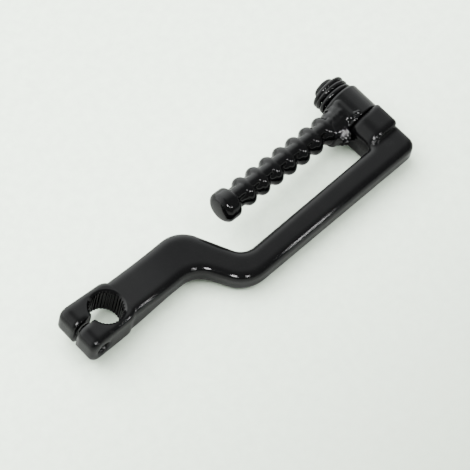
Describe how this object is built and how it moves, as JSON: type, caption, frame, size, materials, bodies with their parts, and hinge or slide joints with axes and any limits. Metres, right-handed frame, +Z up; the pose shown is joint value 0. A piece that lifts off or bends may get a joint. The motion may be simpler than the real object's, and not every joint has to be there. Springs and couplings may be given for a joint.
{
  "type": "kick start lever",
  "caption": "Cranked kick start lever with a split splined clamp boss at one end and a beaded foot peg that folds on a sprung hinge pin at the other.",
  "frame": {"origin": "middle of the splined bore", "axes": "+X along the arm from the bore towards the hinge, +Y along the hinge pin towards its free end, +Z up, away from the machine; the bore's axis leans 9 degrees from +Z towards +X"},
  "size_m": [0.1824, 0.053, 0.0287],
  "materials": {
    "black_paint": "gloss",
    "blackened_steel": "satin"
  },
  "bodies": {
    "arm": {"lever_arm": "black_paint", "pivot_pin": "blackened_steel", "detent_spring": "blackened_steel", "spring_washer": "blackened_steel"},
    "pedal": {"pedal_hub": "black_paint", "foot_peg": "black_paint", "peg_weld": "black_paint"}
  },
  "joints": [
    {"name": "pedal_fold", "type": "hinge", "parent": "arm", "child": "pedal", "pos_m": [0.1536, 0, -0.002], "axis": [0, 1, 0], "range_deg": [0, 82.7]}
  ]
}
